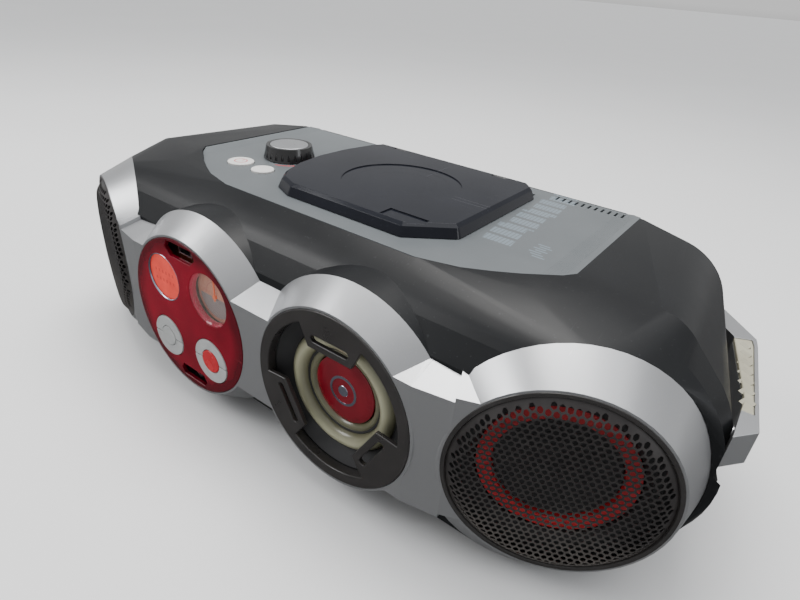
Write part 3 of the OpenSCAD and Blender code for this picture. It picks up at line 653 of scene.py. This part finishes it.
garnet = Finish("garnet_badge", Coat_Weight=0.15, Coat_Roughness=0.05)
cloud = garnet.noise(60.0, 3.0)
hair = garnet.scratches(0.5)
garnet.set(
    Base_Color=garnet.mix(cloud * 0.8 + hair * 0.3, (0.075, 0.002, 0.006), (0.26, 0.006, 0.018)),
    Roughness=cloud * 0.1 + 0.14,
)
dress("woofer_badge", garnet, 0.0004, 30)
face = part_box("woofer_badge")[0].y
ring = turned_ring("badge_ring", (woofer.x, face, woofer.z), [
    (0.0086, 0.0006), (0.0088, -0.0001), (0.0104, 0.0000), (0.0106, 0.0006),
], 64)
fit(to_piece(ring, "badge_ring", 40), bezel, "housing")
bm = bmesh.new()
bmesh.ops.create_cone(
    bm, cap_ends=True, segments=40, radius1=0.0042, radius2=0.0036, depth=0.0007,
    matrix=Matrix.Translation((woofer.x, face + 0.0002, woofer.z))
    @ Matrix.Rotation(math.radians(90), 4, "X"),
)
fit(to_piece(bm, "badge_dot", 40), bezel, "housing")

# ---- End speakers ----
# Black pressed-steel grilles, punched in a hexagonal pattern and rolled down at the rim.
# A red ring and a paper cone show through the holes.
end_yaw = math.radians(20.9)
end_out, end_back, end_up = 0.1988, 0.024287, 0.00275
mesh_radius = 0.0564
flat_radius = 0.0475
row_pitch = 0.00375
hole_radius = 0.00156
mesh_depth = 0.0048
mesh_crown = 0.0009
rim_roll = 0.0058


def perforated(name, place):
    """Punched sheet: hexagonal cells round six-sided holes, drawn to the pan's shape."""
    bm = bmesh.new()
    row_step = row_pitch * 0.866
    rows = int(mesh_radius / row_step) + 2
    for row in range(-rows, rows + 1):
        for column in range(-rows, rows + 1):
            cx = (column + 0.5 * (row % 2)) * row_pitch
            cz = row * row_step
            if math.hypot(cx, cz) > mesh_radius + row_pitch * 0.45:
                continue
            upright = Matrix.Translation((cx, 0, cz)) @ Matrix.Rotation(math.radians(90), 4, "X")
            rim = bmesh.ops.create_circle(
                bm, cap_ends=False, segments=6, radius=row_pitch * 0.5774, matrix=upright
            )["verts"]
            if math.hypot(cx, cz) > mesh_radius - row_pitch * 0.75:
                bm.faces.new(rim)
                continue
            inner = bmesh.ops.create_circle(
                bm, cap_ends=False, segments=6, radius=hole_radius, matrix=upright
            )["verts"]
            for k in range(6):
                bm.faces.new((rim[k], rim[(k + 1) % 6], inner[(k + 1) % 6], inner[k]))
    bmesh.ops.remove_doubles(bm, verts=bm.verts, dist=row_pitch * 0.02)
    for vert in bm.verts:
        reach = math.hypot(vert.co.x, vert.co.z)
        if reach > mesh_radius:
            vert.co.x *= mesh_radius / reach
            vert.co.z *= mesh_radius / reach
            reach = mesh_radius
        inward = max(0.0, 1 - (reach / flat_radius) ** 2)
        outward = max(0.0, (reach - flat_radius) / (mesh_radius - flat_radius))
        rolled = (1 - math.cos(outward * math.pi / 2)) ** 0.85
        vert.co.y = mesh_crown * inward + rim_roll * rolled - mesh_depth
    bmesh.ops.dissolve_degenerate(bm, edges=bm.edges, dist=1e-5)
    bmesh.ops.recalc_face_normals(bm, faces=bm.faces)
    bmesh.ops.transform(bm, matrix=place, verts=bm.verts)
    piece = to_piece(bm, name, 50)
    wall = piece.modifiers.new("wall", "SOLIDIFY")
    wall.thickness = 0.0004
    wall.offset = 0
    return piece


punched = Finish("punched_steel", Metallic=0.35, Specular_IOR_Level=0.6)
cloud = punched.noise(160.0, 3.0)
light_breakup = punched.noise(34.0, 4.0)
_, _, z = punched.axes()
# Painted light: the lower part of the grille is painted lighter and browner, as if lit there. Noise
# breaks up the edge of the painted lit area.
painted_lower_light = punched.ramp((0.085 - z) * 9.0 + light_breakup * 0.5, (0.35, (0, 0, 0)), (0.75, (1, 1, 1)))
punched.set(
    Base_Color=punched.mix(painted_lower_light * 0.55 + cloud * 0.2, (0.022, 0.020, 0.021), (0.16, 0.145, 0.132)),
    Roughness=cloud * 0.16 + 0.24,
)
crimson = Finish("crimson_ring", Coat_Weight=0.4)
cloud = crimson.noise(60.0, 3.0)
_, _, z = crimson.axes()
# Painted light: the ring is painted darker towards the top as painted shade, and brighter towards the
# bottom as painted light.
painted_lower_light = crimson.ramp((0.11 - z) * 11.0, (0.1, (0, 0, 0)), (0.9, (1, 1, 1)))
crimson.set(
    Base_Color=crimson.mix(painted_lower_light * 0.8 + cloud * 0.2, (0.30, 0.005, 0.009), (0.62, 0.022, 0.028)),
    Roughness=cloud * 0.15 + 0.25,
)
paint(crimson, "left_trim_ring", "right_trim_ring")

frame_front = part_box("front_frame")[0].y
for side, word in ((-1, "left"), (1, "right")):
    place = (
        Matrix.Translation((side * end_out, frame_front + end_back, pod.z + end_up))
        @ Matrix.Rotation(side * end_yaw, 4, "Z")
    )
    sheet = perforated(word + "_punched_grille", place)
    fit(sheet, punched, "housing", word + "_grille")
    ring = turned_ring(word + "_grille_lip", (0, 0, 0), [
        (0.0562, 0.0022), (0.0564, 0.0002), (0.0570, -0.0004), (0.0590, -0.0004), (0.0594, 0.0004),
        (0.0574, 0.0006), (0.0571, 0.0030),
    ], 96)
    bmesh.ops.transform(ring, matrix=place, verts=ring.verts)
    fit(to_piece(ring, word + "_grille_lip", 40), smoke, "housing")

# ---- Carry handle ----
# A silver moulding that folds back round the rear, with ribbed cream rubber let into its arms.
# It turns on a steel pin at each end.
dress("carry_handle", silver, 0.0016, 30, 4)
cream = Finish("cream_rubber")
cloud = cream.noise(60.0, 4.0)
grain = cream.noise(1500.0, 3.0)
grime = cream.ramp(cream.noise(26.0, 5.0), (0.45, (0, 0, 0)), (0.75, (1, 1, 1)))
cream.set(
    Base_Color=cream.mix(
        grime * 0.4, cream.mix(cloud, (0.36, 0.345, 0.26), (0.46, 0.445, 0.35)), (0.25, 0.22, 0.15)
    ),
    Roughness=cloud * 0.15 + 0.55,
)
cream.bump(grain, 0.00004)
dress("handle_grips", cream, 0.0005, 30)
grip_low, grip_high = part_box("handle_grips")
rib_count = 7
rib_pitch = 0.0105
rib_size = (0.0066, 0.0052, 0.0022)
rib_slant = math.radians(-34)
arm_splay = 0.176
for side, word in ((-1, "left"), (1, "right")):
    bm = bmesh.new()
    for k in range(rib_count):
        along = grip_low.y + 0.010 + k * rib_pitch
        middle = grip_high.x - 0.0028 - (along - grip_low.y) * arm_splay
        made = bmesh.ops.create_cube(bm, size=1.0)["verts"]
        bmesh.ops.scale(bm, vec=rib_size, verts=made)
        for vert in made:
            if vert.co.z > 0:
                vert.co.y = 0.0022
        bmesh.ops.rotate(bm, matrix=Matrix.Rotation(side * rib_slant, 3, "Z"), verts=made)
        bmesh.ops.translate(bm, vec=(side * middle, along, grip_high.z + 0.0001), verts=made)
    bmesh.ops.dissolve_degenerate(bm, edges=bm.edges, dist=1e-6)
    fit(to_piece(bm, word + "_grip_ribs"), cream, "handle")

# ---- Bright steel, aerial and small fixings ----
# The telescopic aerial, its pivot, screws, pins and sockets are plain plated steel.
plated = Finish("plated_steel", Metallic=1.0)
cloud = plated.noise(220.0, 3.0)
plated.set(
    Base_Color=plated.mix(cloud, (0.50, 0.50, 0.51), (0.68, 0.68, 0.69)), Roughness=cloud * 0.16 + 0.18
)
paint(plated, "case_screws", "lid_hinge_pin", "handle_pivots", "antenna_tube", "antenna_rod",
      "usb_socket", "sled_rails", "spindle_motor")

# ---- Plain black parts ----
# Moulded parts inside the wells, sockets and bays, with a fine matt texture.
matt = Finish("matt_black")
grain = matt.noise(1800.0, 3.0)
cloud = matt.noise(40.0, 3.0)
matt.set(Base_Color=matt.mix(cloud * 0.4 + grain * 0.2, (0.010, 0.010, 0.011), (0.045, 0.045, 0.047)),
         Roughness=cloud * 0.12 + 0.48)
matt.bump(grain, 0.00003)
paint(matt, "disc_clamp", "disc_well", "spindle_hub", "laser_sled", "mains_inlet", "line_in_jack",
      "battery_tray", "antenna_mount", "left_driver", "right_driver", "woofer_driver")
dress("tuning_wheel", jet, 0.0002, 30)

# ---- Feet ----
# Four soft black rubber feet pressed into the base.
rubber = Finish("foot_rubber")
grain = rubber.noise(900.0, 4.0)
rubber.set(
    Base_Color=rubber.mix(grain, (0.012, 0.012, 0.012), (0.03, 0.03, 0.03)),
    Roughness=grain * 0.1 + 0.7,
)
rubber.bump(grain, 0.0001)
paint(rubber, "feet")

# ---- Boards and transformer ----
# Green circuit boards behind the controls, and a laminated mains transformer.
board = Finish("circuit_board", Coat_Weight=0.3)
weave = board.node(
    "ShaderNodeTexVoronoi", {"feature": "DISTANCE_TO_EDGE"}, {"Vector": board.place, "Scale": 180.0}
)
track = weave < 0.06
cloud = board.noise(50.0, 3.0)
board.set(
    Base_Color=board.mix(track, (0.012, 0.07, 0.03), (0.03, 0.16, 0.06)),
    Roughness=cloud * 0.1 + 0.35,
)
paint(board, "control_board", "display_board", "main_board")
stack = Finish("laminated_core", Metallic=0.6)
_, _, z = stack.axes()
leaf = (z * 1400.0).math("FRACT")
cloud = stack.noise(60.0, 3.0)
stack.set(Base_Color=stack.mix(leaf * 0.6 + cloud * 0.3, (0.05, 0.045, 0.04), (0.17, 0.155, 0.14)),
          Roughness=cloud * 0.2 + 0.45)
paint(stack, "transformer")
